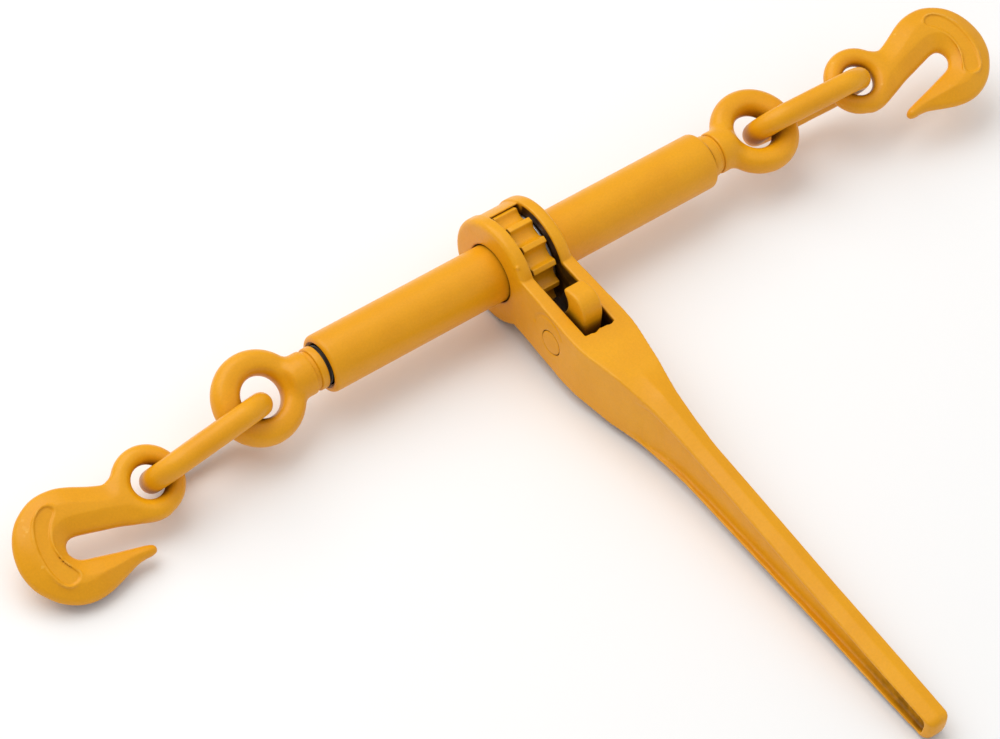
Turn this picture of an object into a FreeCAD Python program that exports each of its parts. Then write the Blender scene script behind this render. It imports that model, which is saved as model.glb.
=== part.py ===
import FreeCAD, Part
import math
import os

# Ratchet load binder: a barrel with opposite-hand threads at its two ends, turned by a
# lever handle through a toothed wheel and a two-way pawl, pulls two eye bolts together.
# Each eye bolt carries one welded link and one eye grab hook.
#
# Working frame while building (mm): X along the barrel, the handle points to -Y, Z up
# through the handle's pawl slot, origin at the middle of the toothed wheel. At the end
# everything is tipped about X until the yoke and the handle's tip stand on one floor.

V = FreeCAD.Vector

# ---------------------------------------------------------------- driving dimensions
BARREL_LEN = 252.0
BARREL_R = 16.0
BARREL_END_ROUND = 2.6
BARREL_THREAD_R = 11.5        # crest of the internal thread, plain in this model
BARREL_THREAD_LEN = 18.0
BARREL_RELIEF_R = 12.8

GEAR_TEETH = 13
GEAR_TIP_R = 28.0
GEAR_VALLEY_R = 5.2           # radius of the round valley between two teeth
GEAR_VALLEY_AT = 28.8         # where the valley's centre sits
GEAR_HALF_W = 7.5
GEAR_FIRST_TOOTH = 10.8       # degrees from -Y towards +Z
GEAR_PIN_R = 2.0

WASHER_IN = 7.75
WASHER_OUT = 9.1
WASHER_R0 = 16.6
WASHER_R1 = 23.0

YOKE_R = 30.5
YOKE_HALF = 16.8
YOKE_BORE_R = 16.6
SLOT_HALF = 9.4
POCKET_R = 28.6
SLOT_REAR = -68.5
SLOT_FRONT = 14.0
HANDLE_TIP = -341.0

PAWL_Y = -53.0
PAWL_HALF_W = 6.25
PIN_R = 5.0
PIN_CLEAR = 0.05
PIN_HEAD_R = 7.0
PIN_HEAD_T = 2.0

PLUNGER_R = 3.5
PLUNGER_BORE_R = 3.55
PLUNGER_TIP_Y = -65.8
PLUNGER_TAIL_Y = -79.0
PLUNGER_BORE_END = -96.0

ROD_R = 11.1
ROD_INNER_X = 2.0
STOP_PIN_X = 5.5
STOP_PIN_R = 2.0
STOP_PIN_HALF = 12.3
RING_X = 164.0
RING_R = 17.8
RING_WIRE_R = 7.4
RING_TILT = {"left": 27.0, "right": 12.0}     # degrees about X, top towards the handle

LINK_WIRE_R = 6.35
LINK_HALF_W = 16.35           # from the link's middle line to the wire's centre
LINK_PITCH = 68.0             # between the wire centres at the two ends

HOOK_T = 14.0
HOOK_BEVEL = 2.0
HOOK_EYE_R = 14.6
HOOK_EYE_WIRE_R = 5.05
HOOK_SCALE = 1.012

FLOOR_TILT = 3.8              # degrees the whole binder is tipped to stand on a floor

LINKS = {
    "left": {"a": V(-165.46, -2.98, -1.52), "dir": V(-0.9921, -0.0765, -0.0993), "w": V(-0.0534, -0.4588, 0.8869)},
    "right": {"a": V(164.46, -0.73, -0.89), "dir": V(0.9924, -0.0770, 0.0962), "w": V(-0.1196, -0.4164, 0.9013)},
}
HOOKS = {
    "left": {"n": V(0.011, -0.376, 0.927), "off": (-2.39, 0.59), "flip": False},
    "right": {"n": V(-0.069, -0.284, 0.956), "off": (0.0, 0.0), "flip": True},
}


# ---------------------------------------------------------------- helpers
def cyl(p, d, r, h):
    return Part.makeCylinder(r, h, p, d)


def xcyl(r, x0, x1, y=0.0, z=0.0):
    return Part.makeCylinder(r, x1 - x0, V(x0, y, z), V(1, 0, 0))


def box(x0, x1, y0, y1, z0, z1):
    return Part.makeBox(x1 - x0, y1 - y0, z1 - z0, V(x0, y0, z0))


def spline(pts):
    c = Part.BSplineCurve()
    c.interpolate(pts)
    return c.toShape()


def closed_spline(pts):
    c = Part.BSplineCurve()
    c.interpolate(Points=pts, PeriodicFlag=True)
    return Part.Wire([c.toShape()])


def prism(wire, vec):
    return Part.Face(wire).extrude(vec)


def revolve_x(pts):
    w = Part.makePolygon([V(x, r, 0) for x, r in pts] + [V(pts[0][0], pts[0][1], 0)])
    return Part.Face(w).revolve(V(0, 0, 0), V(1, 0, 0), 360)


def try_fillet(shape, radius, edges, label):
    if not edges:
        return shape
    try:
        s = shape.makeFillet(radius, edges)
        if s.isValid() and s.Volume > 0.5 * shape.Volume:
            return s
    except Exception as e:
        print("fillet skipped", label, e)
    return shape


def matrix(origin, u, v, n):
    m = FreeCAD.Matrix(u.x, v.x, n.x, origin.x,
                       u.y, v.y, n.y, origin.y,
                       u.z, v.z, n.z, origin.z,
                       0, 0, 0, 1)
    return FreeCAD.Placement(m)


def place(shape, pl):
    s = shape.copy()
    s.Placement = pl.multiply(s.Placement)
    return s


# ---------------------------------------------------------------- barrel and wheel
def gear_pin_dirs():
    out = []
    for k in (5, 8):
        a = math.radians(GEAR_FIRST_TOOTH + (k + 0.5) * 360.0 / GEAR_TEETH)
        out.append(V(0, -math.cos(a), math.sin(a)))
    return out


def make_barrel():
    h = BARREL_LEN / 2
    b = xcyl(BARREL_R, -h, h)
    ends = [e for e in b.Edges if abs(abs(e.BoundBox.Center.x) - h) < 1e-3 and e.BoundBox.XLength < 1e-3]
    b = try_fillet(b, BARREL_END_ROUND, ends, "barrel ends")
    b = b.cut(xcyl(BARREL_THREAD_R, -h - 1, h + 1))
    r = h - BARREL_THREAD_LEN
    b = b.cut(xcyl(BARREL_RELIEF_R, -r, r))
    for s in (-1, 1):
        b = b.cut(Part.makeCone(BARREL_THREAD_R + 1.0, BARREL_THREAD_R, 1.0, V(s * h, 0, 0), V(-s, 0, 0)))
    for d in gear_pin_dirs():
        b = b.cut(cyl(d * 12.0, d, GEAR_PIN_R, 18.0))
    return b


def make_gear():
    g = xcyl(GEAR_TIP_R, -GEAR_HALF_W, GEAR_HALF_W)
    g = g.cut(xcyl(BARREL_R, -GEAR_HALF_W - 1, GEAR_HALF_W + 1))
    cuts = []
    for k in range(GEAR_TEETH):
        a = math.radians(GEAR_FIRST_TOOTH + (k + 0.5) * 360.0 / GEAR_TEETH)
        cuts.append(xcyl(GEAR_VALLEY_R, -GEAR_HALF_W - 1, GEAR_HALF_W + 1,
                         -GEAR_VALLEY_AT * math.cos(a), GEAR_VALLEY_AT * math.sin(a)))
    g = g.cut(cuts)
    for d in gear_pin_dirs():
        g = g.cut(cyl(d * 12.0, d, GEAR_PIN_R, 20.0))
    return g


def make_gear_pins():
    return Part.makeCompound([cyl(d * 13.2, d, GEAR_PIN_R, 9.6) for d in gear_pin_dirs()])


def make_washer(s):
    a, b = (WASHER_IN, WASHER_OUT) if s > 0 else (-WASHER_OUT, -WASHER_IN)
    return xcyl(WASHER_R1, a, b).cut(xcyl(WASHER_R0, a - 1, b + 1))


# ---------------------------------------------------------------- handle with yoke
HANDLE_W = [(0, 16.8), (-30, 16.9), (-50, 17.5), (-66, 18.0), (-76, 17.6), (-88, 15.2), (-104, 12.2),
            (-121, 9.4), (-138, 7.8), (-155, 6.95), (-190, 6.85), (-250, 6.85), (-300, 6.8), (-330, 6.6)]
HANDLE_H = [(-18, 18.0), (-50, 18.0), (-73, 18.0), (-88, 18.6), (-104, 18.9), (-121, 18.3), (-138, 16.4),
            (-155, 14.6), (-190, 13.2), (-222, 11.7), (-250, 10.3), (-283, 9.4), (-312, 8.5), (-332, 7.8)]


def interp(tab, y):
    tab = sorted(tab)
    if y <= tab[0][0]:
        return tab[0][1]
    for (a, va), (b, vb) in zip(tab, tab[1:]):
        if y <= b:
            return va + (vb - va) * (y - a) / (b - a)
    return tab[-1][1]


def outline(tab, tip, corner, vec, flat):
    """Closed outline symmetric about the Y axis; flat gives the half width at y = flat[0]."""
    pts = [vec(v, y) for y, v in tab]
    pts2 = [vec(-v, y) for y, v in reversed(tab)]
    y_e, v_e = tab[-1]
    a = spline(pts)
    b = spline(pts2)
    e1 = spline([vec(v_e, y_e), vec(v_e - 0.35 * corner, tip + 0.32 * (y_e - tip)), vec(v_e - corner, tip + 0.02)])
    mid = Part.LineSegment(vec(v_e - corner, tip + 0.02), vec(-(v_e - corner), tip + 0.02)).toShape()
    e2 = spline([vec(-(v_e - corner), tip + 0.02), vec(-(v_e - 0.35 * corner), tip + 0.32 * (y_e - tip)), vec(-v_e, y_e)])
    y0, v0 = tab[0]
    if flat is None:
        close = [Part.LineSegment(vec(-v0, y0), vec(v0, y0)).toShape()]
    else:
        close = [Part.LineSegment(vec(-v0, y0), vec(-v0, flat)).toShape(),
                 Part.LineSegment(vec(-v0, flat), vec(v0, flat)).toShape(),
                 Part.LineSegment(vec(v0, flat), vec(v0, y0)).toShape()]
    return Part.Wire([a, e1, mid, e2, b] + close)


def make_handle():
    side = prism(outline(HANDLE_H, HANDLE_TIP, 4.5, lambda v, y: V(-25, y, v), None), V(50, 0, 0))
    side = side.fuse(xcyl(YOKE_R, -25, 25))
    top = prism(outline(HANDLE_W, HANDLE_TIP, 4.0, lambda v, y: V(v, y, -40), 40.0), V(0, 0, 80))
    h = side.common(top)
    # outer rims of the two round cheeks
    rims = [e for e in h.Edges if e.BoundBox.XLength < 0.05 and abs(abs(e.BoundBox.Center.x) - YOKE_HALF) < 0.05
            and e.BoundBox.YMax > YOKE_R - 1.0]
    h = try_fillet(h, 2.5, rims, "cheek rims")
    # side recesses that leave an I section in the grip
    ys = [-108, -116, -126, -138, -155, -175, -200, -240, -280, -312, -323]
    pts = [V(-30, y, interp(HANDLE_H, y) - (5.5 if y > -112 else 4.2 if y > -120 else 3.0)) for y in ys]
    top_edge = spline(pts)
    bot_edge = spline([V(-30, p.y, -p.z) for p in reversed(pts)])
    yl, zl = ys[-1], pts[-1].z
    arc = Part.Arc(V(-30, yl, zl), V(-30, yl - zl, 0), V(-30, yl, -zl)).toShape()
    front = Part.LineSegment(V(-30, ys[0], -pts[0].z), V(-30, ys[0], pts[0].z)).toShape()
    pocket = prism(Part.Wire([top_edge, arc, bot_edge, front]), V(60, 0, 0))
    floor = [(-100, 14.0), (-110, 11.6), (-120, 8.3), (-132, 5.8), (-150, 4.0), (-175, 3.3), (-250, 3.2), (-335, 3.2)]
    cuts = []
    for s in (1, -1):
        w = Part.Wire([spline([V(s * v, y, -40) for y, v in floor]),
                       Part.LineSegment(V(s * 3.2, -335, -40), V(s * 30, -335, -40)).toShape(),
                       Part.LineSegment(V(s * 30, -335, -40), V(s * 30, -100, -40)).toShape(),
                       Part.LineSegment(V(s * 30, -100, -40), V(s * 14, -100, -40)).toShape()])
        cuts.append(pocket.common(prism(w, V(0, 0, 80))))
    h = h.cut(cuts)
    # barrel bore, wheel pocket and the slot for the pawl
    h = h.cut(xcyl(YOKE_BORE_R, -40, 40))
    h = h.cut(xcyl(POCKET_R, -SLOT_HALF, SLOT_HALF))
    h = h.cut(box(-SLOT_HALF, SLOT_HALF, SLOT_REAR, SLOT_FRONT, -60, 60))
    # pin hole with a seat for the pin's head, and the blind bore for the plunger
    h = h.cut(xcyl(PIN_R, -30, 30, PAWL_Y))
    h = h.cut(xcyl(PIN_HEAD_R, -30, -17.5 + PIN_HEAD_T, PAWL_Y))
    h = h.cut(cyl(V(0, SLOT_REAR + 1, 0), V(0, -1, 0), PLUNGER_BORE_R, SLOT_REAR + 1 - PLUNGER_BORE_END))
    return h


def make_pin():
    p = xcyl(PIN_R, -17.5, 17.4, PAWL_Y)
    return p.fuse(xcyl(PIN_HEAD_R, -17.5, -17.5 + PIN_HEAD_T, PAWL_Y)).removeSplitter()


# Half outline of the two-way pawl as (radius, angle from its middle line): a blunt nose
# at about 51 degrees, hollow towards the wheel, full and rounded at the back.
PAWL_MID = 19.95
PAWL_HALF = [(10.5, 0), (10.6, 14), (11.2, 26), (12.2, 37), (14.2, 48.0), (17.2, 55.2), (19.8, 57.0), (22.2, 56.2),
             (24.8, 53.4), (27.0, 51.4), (28.6, 51.0), (29.4, 53.2), (29.7, 58.0), (29.95, 66), (29.7, 75),
             (27.9, 84), (24.4, 92), (20.7, 99), (17.7, 106), (15.0, 117), (13.3, 133), (12.5, 147),
             (12.5, 163)]


def make_pawl():
    pts = []
    for r, a in PAWL_HALF:
        pts.append((r, a))
    pts.append((12.5, 180))
    for r, a in reversed(PAWL_HALF[1:]):
        rr = r + (1.05 * (r - 18.0) / 14.0 if r > 18.0 else 0.0)
        pts.append((rr, 360 - a))
    vs = []
    for r, a in pts:
        t = math.radians(a + PAWL_MID)
        vs.append(V(-PAWL_HALF_W, PAWL_Y + r * math.cos(t), r * math.sin(t)))
    p = prism(closed_spline(vs), V(2 * PAWL_HALF_W, 0, 0))
    return p.cut(xcyl(PIN_R + PIN_CLEAR, -20, 20, PAWL_Y))


def make_plunger():
    c = PLUNGER_TIP_Y - PLUNGER_R
    p = cyl(V(0, c, 0), V(0, -1, 0), PLUNGER_R, c - PLUNGER_TAIL_Y)
    nose = Part.makeSphere(PLUNGER_R, V(0, c, 0))
    return p.fuse(nose).removeSplitter()


def make_spring():
    L = PLUNGER_TAIL_Y - PLUNGER_BORE_END
    return cyl(V(0, PLUNGER_TAIL_Y, 0), V(0, -1, 0), 3.2, L).cut(cyl(V(0, PLUNGER_TAIL_Y + 1, 0), V(0, -1, 0), 2.3, L + 2))


# ---------------------------------------------------------------- eye bolts
def make_eye_bolt(side):
    s = -1 if side == "left" else 1
    prof = [(ROD_INNER_X, 0), (ROD_INNER_X, ROD_R - 1), (ROD_INNER_X + 1, ROD_R), (126.4, ROD_R), (126.9, 10.4), (129.3, 10.4),
            (129.6, 11.5), (130.1, 11.8), (132.2, 11.8), (132.6, 11.2), (133.1, 11.2), (133.6, 11.9), (139.5, 11.7),
            (143.5, 10.6), (147.5, 8.9), (151.5, 6.6), (151.5, 0)]
    b = revolve_x([(s * x, r) for x, r in prof])
    t = math.radians(RING_TILT[side])
    ring = Part.makeTorus(RING_R, RING_WIRE_R, V(s * RING_X, 0, 0), V(0, -math.sin(t), math.cos(t)))
    b = b.fuse(ring)
    b = b.cut(cyl(V(s * STOP_PIN_X, 0, -20), V(0, 0, 1), STOP_PIN_R, 40))
    return b


def make_stop_pin(side):
    s = -1 if side == "left" else 1
    return cyl(V(s * STOP_PIN_X, 0, -STOP_PIN_HALF), V(0, 0, 1), STOP_PIN_R, 2 * STOP_PIN_HALF)


# ---------------------------------------------------------------- links and hooks
def link_frame(side):
    d = V(LINKS[side]["dir"])
    d.normalize()
    w = V(LINKS[side]["w"])
    w = w - d * w.dot(d)
    w.normalize()
    return V(LINKS[side]["a"]), d, w, d.cross(w)


def make_link(side):
    """Oval link: u runs along it, v across it, and the first wire centre is at u = 0."""
    r, hw = LINK_WIRE_R, LINK_HALF_W
    u0, u1 = hw, LINK_PITCH - hw
    parts = []
    for v in (-hw, hw):
        parts.append(cyl(V(u0, v, 0), V(1, 0, 0), r, u1 - u0))
    for u, a0 in ((u0, 90), (u1, -90)):
        c = Part.Wire([Part.Circle(V(u + 0, hw, 0), V(1, 0, 0), r).toShape()])
        f = Part.Face(c)
        if a0 == 90:
            parts.append(f.revolve(V(u, 0, 0), V(0, 0, 1), 180))
        else:
            parts.append(f.revolve(V(u, 0, 0), V(0, 0, -1), 180))
    s = parts[0]
    for p in parts[1:]:
        s = s.fuse(p)
    s = s.removeSplitter()
    a, d, w, n = link_frame(side)
    return place(s, matrix(a, d, w, n))


HOOK_OUT = [(-18.0, 9.9), (-21.5, 9.6), (-26, 11.2), (-32, 14.0), (-38, 16.9), (-44, 19.0), (-51, 19.9), (-58, 19.2), (-65, 16.6),
            (-71, 12.8), (-76, 7.4), (-79.8, 0.5), (-81.7, -7.5), (-81.5, -14), (-79.6, -20.5), (-76.2, -26), (-71.4, -31.4),
            (-65.5, -35.6), (-59, -38.3), (-52, -39.4), (-45, -38.9), (-38, -37.2), (-31, -35.0), (-26, -33.5), (-21.5, -33.0),
            (-17.6, -33.1), (-14.8, -32.4), (-13.8, -30.3), (-14.9, -28.3), (-18, -26.9), (-26, -24.7), (-34, -22.6),
            (-42, -20.3), (-48, -18.6), (-51.6, -16.6), (-53.8, -12.8), (-53.0, -8.9), (-50.4, -6.8), (-46.5, -6.7), (-40, -8.4),
            (-32, -10.7), (-24, -13.0), (-16, -15.5), (-9, -17.6), (-5.0, -17.2)]


def hook_frame(side):
    a, d, w, m = link_frame(side)
    b = a + d * LINK_PITCH
    n = V(HOOKS[side]["n"])
    n.normalize()
    e1 = V(1, 0, 0) - n * n.x
    e1.normalize()
    e2 = n.cross(e1)
    ou, ov = HOOKS[side]["off"]
    o = b + e1 * ou + e2 * ov
    if HOOKS[side]["flip"]:
        t = math.radians(1.3)
        u = e1 * (-math.cos(t)) + e2 * math.sin(t)
        v = e1 * math.sin(t) + e2 * math.cos(t)
    else:
        u, v = e1, e2
    return o, u, v, u.cross(v), b


def make_hook(side):
    k = HOOK_SCALE
    pts = [V(k * u, k * v, -HOOK_T / 2) for u, v in HOOK_OUT]
    edge = spline(pts)
    close = Part.LineSegment(pts[-1], pts[0]).toShape()
    body = prism(Part.Wire([edge, close]), V(0, 0, HOOK_T))
    rims = [e for e in body.Edges if e.BoundBox.ZLength < 1e-3 and e.Length > 100]
    try:
        b2 = body.makeChamfer(HOOK_BEVEL, rims)
        if b2.isValid() and b2.Volume > 0.8 * body.Volume:
            body = b2
    except Exception as e:
        print("hook bevel skipped", e)
    # thickness: full over the bow, thinner at the beak and where the shank meets the eye
    prof = [(10, 4.4), (-13, 4.6), (-20, 5.6), (-31, 6.7), (-44, 7.0), (-74, 7.0), (-80, 6.2), (-86, 4.6)]
    up = [V(k * u, -70, z) for u, z in prof]
    wz = Part.makePolygon(up + [V(p.x, p.y, -p.z) for p in reversed(up)] + [up[0]])
    body = body.common(prism(wz, V(0, 110, 0)))
    body = body.cut(cyl(V(0, 0, -20), V(0, 0, 1), HOOK_EYE_R, 40))
    s = body.fuse(Part.makeTorus(HOOK_EYE_R, HOOK_EYE_WIRE_R, V(0, 0, 0), V(0, 0, 1)))
    o, u, v, n, b = hook_frame(side)
    return place(s, matrix(o, u, v, n))


# ---------------------------------------------------------------- build, tip and write
def main():
    os.makedirs("parts", exist_ok=True)
    shapes = {
        "barrel": make_barrel(),
        "ratchet_gear": make_gear(),
        "gear_pins": make_gear_pins(),
        "left_thrust_washer": make_washer(-1),
        "right_thrust_washer": make_washer(1),
        "handle": make_handle(),
        "pawl_pin": make_pin(),
        "pawl": make_pawl(),
        "pawl_plunger": make_plunger(),
        "pawl_spring": make_spring(),
        "left_eye_bolt": make_eye_bolt("left"),
        "right_eye_bolt": make_eye_bolt("right"),
        "left_stop_pin": make_stop_pin("left"),
        "right_stop_pin": make_stop_pin("right"),
        "left_link": make_link("left"),
        "right_link": make_link("right"),
        "left_hook": make_hook("left"),
        "right_hook": make_hook("right"),
    }
    tip = FreeCAD.Placement(V(0, 0, 0), FreeCAD.Rotation(V(1, 0, 0), FLOOR_TILT))
    bb = None
    for name in shapes:
        shapes[name] = place(shapes[name], tip)
        b = shapes[name].optimalBoundingBox(True, False)
        if bb is None:
            bb = FreeCAD.BoundBox(b)
        else:
            bb.add(b)
    move = V(-(bb.XMin + bb.XMax) / 2, -(bb.YMin + bb.YMax) / 2, -bb.ZMin)
    shift = FreeCAD.Placement(move, FreeCAD.Rotation())
    full = shift.multiply(tip)
    print("SHIFT %.6f %.6f %.6f TILT %.6f" % (move.x, move.y, move.z, FLOOR_TILT))
    print("SIZE %.3f %.3f %.3f" % (bb.XLength, bb.YLength, bb.ZLength))
    for name, s in shapes.items():
        s = place(s, shift)
        b = s.BoundBox
        print("%-20s valid %s solids %d faces %d vol %.1f  z %.2f..%.2f" % (name, s.isValid(), len(s.Solids), len(s.Faces), s.Volume, b.ZMin, b.ZMax))
        s.exportStep("parts/%s.step" % name)
    for side in ("left", "right"):
        a, d, w, m = link_frame(side)
        o, u, v, n, b = hook_frame(side)
        for label, p in (("link_a", a), ("link_b", b), ("hook_eye", o), ("barrel", V(0, 0, 0)), ("pawl", V(0, PAWL_Y, 0))):
            q = full.multVec(p)
            print("POINT %s %s %.5f %.5f %.5f" % (side, label, q.x, q.y, q.z))
        rot = full.Rotation
        for label, p in (("link_dir", d), ("link_w", w), ("link_n", m), ("hook_u", u), ("hook_v", v), ("hook_n", n)):
            q = rot.multVec(p)
            print("DIR %s %s %.6f %.6f %.6f" % (side, label, q.x, q.y, q.z))


main()
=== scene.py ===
import math

import bpy
import numpy as np
from mathutils import Matrix, Vector


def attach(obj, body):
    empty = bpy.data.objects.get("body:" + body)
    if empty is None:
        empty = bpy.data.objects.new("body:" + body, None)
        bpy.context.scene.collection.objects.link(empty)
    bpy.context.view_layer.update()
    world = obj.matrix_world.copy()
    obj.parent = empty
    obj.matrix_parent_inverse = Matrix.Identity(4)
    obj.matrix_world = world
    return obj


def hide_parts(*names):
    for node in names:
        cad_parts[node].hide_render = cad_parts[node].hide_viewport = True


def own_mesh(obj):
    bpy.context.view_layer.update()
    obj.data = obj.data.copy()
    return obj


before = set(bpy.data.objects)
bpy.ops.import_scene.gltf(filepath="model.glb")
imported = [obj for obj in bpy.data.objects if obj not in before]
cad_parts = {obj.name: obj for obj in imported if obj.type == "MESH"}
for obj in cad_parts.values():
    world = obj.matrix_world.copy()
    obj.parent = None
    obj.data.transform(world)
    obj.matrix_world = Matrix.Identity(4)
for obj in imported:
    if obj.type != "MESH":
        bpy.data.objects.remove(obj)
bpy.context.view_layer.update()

# Ratchet load binder. Lengths in the working frame are millimetres: X along the barrel,
# the handle points to -Y, Z up through the pawl's slot, origin at the wheel's middle.
TILT = math.radians(3.8)
SHIFT = np.array([1.757565, 154.974524, 30.846234])
RX = np.array([[1, 0, 0],
               [0, math.cos(TILT), -math.sin(TILT)],
               [0, math.sin(TILT), math.cos(TILT)]])
I3 = np.eye(3)


def to_row(co, m=I3, o=(0, 0, 0)):
    """Working-frame points (after a local placement m, o) to row metres."""
    p = np.asarray(co, float) @ np.asarray(m, float).T + np.asarray(o, float)
    return (p @ RX.T + SHIFT) * 0.001


# ------------------------------------------------------------------ mesh helpers
def new_mesh(name, verts, faces, sharp=38.0):
    me = bpy.data.meshes.new(name)
    me.from_pydata(np.asarray(verts).tolist(), [], [list(map(int, f)) for f in faces])
    me.validate()
    me.update()
    me.polygons.foreach_set("use_smooth", [True] * len(me.polygons))
    if sharp:
        me.set_sharp_from_angle(angle=math.radians(sharp))
    ob = bpy.data.objects.new(name, me)
    bpy.context.scene.collection.objects.link(ob)
    return ob


def give(ob, mat, body, nodes=()):
    ob.data.materials.append(mat)
    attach(ob, body)
    if nodes:
        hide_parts(*nodes)
    return ob


def surface_nets(d, lo, h):
    """Vertices and quads of the zero level of grid d (negative inside)."""
    d = d.astype(np.float32)
    ins = d < 0
    nx, ny, nz = d.shape
    c = [ins[a:nx - 1 + a, b:ny - 1 + b, e:nz - 1 + e] for a in (0, 1) for b in (0, 1) for e in (0, 1)]
    s = sum(x.astype(np.int8) for x in c)
    act = (s > 0) & (s < 8)
    idx = np.argwhere(act)
    num = np.full(act.shape, -1, np.int32)
    num[act] = np.arange(len(idx))
    corner = {}
    for a in (0, 1):
        for b in (0, 1):
            for e in (0, 1):
                corner[(a, b, e)] = d[idx[:, 0] + a, idx[:, 1] + b, idx[:, 2] + e]
    acc = np.zeros((len(idx), 3))
    cnt = np.zeros(len(idx))
    for ax in range(3):
        for p in (0, 1):
            for q in (0, 1):
                k0 = [p, q]
                k0.insert(ax, 0)
                k1 = list(k0)
                k1[ax] = 1
                v0, v1 = corner[tuple(k0)], corner[tuple(k1)]
                m = (v0 < 0) != (v1 < 0)
                t = np.where(m, v0 / np.where(m, v0 - v1, 1), 0)
                pt = np.tile(np.array(k0, float), (len(idx), 1))
                pt[:, ax] = t
                acc[m] += pt[m]
                cnt[m] += 1
    verts = (idx + acc / cnt[:, None]) * h + np.asarray(lo)
    quads = []
    for ax in range(3):
        o1, o2 = [(1, 2), (2, 0), (0, 1)][ax]
        sl0 = [slice(None)] * 3
        sl1 = [slice(None)] * 3
        sl0[ax] = slice(0, d.shape[ax] - 1)
        sl1[ax] = slice(1, d.shape[ax])
        a, b = ins[tuple(sl0)], ins[tuple(sl1)]
        e = np.argwhere(a != b)
        ok = (e[:, o1] > 0) & (e[:, o2] > 0) & (e[:, o1] < d.shape[o1] - 1) & (e[:, o2] < d.shape[o2] - 1)
        e = e[ok]
        flip = a[e[:, 0], e[:, 1], e[:, 2]]
        def cell(d1, d2):
            g = e.copy()
            g[:, o1] -= d1
            g[:, o2] -= d2
            return num[g[:, 0], g[:, 1], g[:, 2]]
        q = np.stack([cell(1, 1), cell(0, 1), cell(0, 0), cell(1, 0)], 1)
        q = np.where(flip[:, None], q, q[:, ::-1])
        quads.append(q)
    return verts, np.concatenate(quads)


def grid(lo, hi, h):
    ax = [np.arange(a, b + h, h) for a, b in zip(lo, hi)]
    return np.meshgrid(*ax, indexing="ij", sparse=True)


def smax(a, b, k):
    t = np.clip(0.5 + 0.5 * (a - b) / k, 0, 1)
    return b + (a - b) * t + k * t * (1 - t)


def smin(a, b, k):
    return -smax(-a, -b, k)


def resample(pts, per=6, closed=True):
    """Catmull-Rom through the points."""
    p = np.asarray(pts, float)
    n = len(p)
    out = []
    for i in range(n if closed else n - 1):
        if closed:
            p0, p1, p2, p3 = p[i - 1], p[i], p[(i + 1) % n], p[(i + 2) % n]
        else:
            p0, p1, p2, p3 = p[max(i - 1, 0)], p[i], p[i + 1], p[min(i + 2, n - 1)]
        for t in np.arange(per) / per:
            out.append(0.5 * (2 * p1 + (p2 - p0) * t + (2 * p0 - 5 * p1 + 4 * p2 - p3) * t * t
                              + (3 * p1 - p0 - 3 * p2 + p3) * t ** 3))
    return np.array(out)


def poly_sdf(px, py, poly):
    """Signed distance of a 2-D grid to a closed polygon, negative inside."""
    X, Y = np.broadcast_arrays(px, py)
    best = np.full(X.shape, 1e9)
    inside = np.zeros(X.shape, bool)
    a = poly
    b = np.roll(poly, -1, axis=0)
    for (x0, y0), (x1, y1) in zip(a, b):
        ex, ey = x1 - x0, y1 - y0
        wx, wy = X - x0, Y - y0
        t = np.clip((wx * ex + wy * ey) / (ex * ex + ey * ey + 1e-12), 0, 1)
        dd = (wx - ex * t) ** 2 + (wy - ey * t) ** 2
        best = np.minimum(best, dd)
        c = ((y0 <= Y) & (Y < y1)) | ((y1 <= Y) & (Y < y0))
        with np.errstate(divide="ignore", invalid="ignore"):
            xi = x0 + (Y - y0) * (x1 - x0) / ((y1 - y0) if abs(y1 - y0) > 1e-12 else 1e-12)
        inside ^= c & (X < xi)
    r = np.sqrt(best)
    return np.where(inside, -r, r)


def table(tab, y):
    tab = sorted(tab)
    ys = np.array([t[0] for t in tab], float)
    vs = np.array([t[1] for t in tab], float)
    # monotone-ish smooth interpolation: fine linear, then a short blur
    g = np.arange(ys[0] - 8, ys[-1] + 8, 0.5)
    v = np.interp(g, ys, vs)
    k = np.hanning(25)
    k /= k.sum()
    v = np.convolve(np.pad(v, 12, mode="edge"), k, mode="valid")
    return np.interp(y, g, v)


def lathe(name, prof, axis_m=I3, origin=(0, 0, 0), seg=96, closed=True, sharp=38.0):
    """Profile of (x, r) turned about local X; a closed profile makes a ring."""
    prof = np.asarray(prof, float)
    n = len(prof)
    th = np.arange(seg) * 2 * math.pi / seg
    verts = np.stack([np.repeat(prof[:, 0], seg),
                      (prof[:, 1][:, None] * np.cos(th)).ravel(),
                      (prof[:, 1][:, None] * np.sin(th)).ravel()], 1)
    faces = []
    for i in range(n if closed else n - 1):
        j = (i + 1) % n
        for k in range(seg):
            l = (k + 1) % seg
            faces.append((i * seg + k, j * seg + k, j * seg + l, i * seg + l))
    if not closed:
        verts = np.vstack([verts, [prof[0, 0], 0, 0], [prof[-1, 0], 0, 0]])
        a, b = n * seg, n * seg + 1
        for k in range(seg):
            l = (k + 1) % seg
            faces.append((a, k, l))
            faces.append((b, (n - 1) * seg + l, (n - 1) * seg + k))
    ob = new_mesh(name, to_row(verts, axis_m, origin), faces, sharp)
    fix_normals(ob)
    return ob


def fix_normals(ob):
    import bmesh
    bm = bmesh.new()
    bm.from_mesh(ob.data)
    bmesh.ops.remove_doubles(bm, verts=bm.verts, dist=1e-7)
    bmesh.ops.recalc_face_normals(bm, faces=bm.faces)
    bm.to_mesh(ob.data)
    bm.free()
    ob.data.update()


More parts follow.
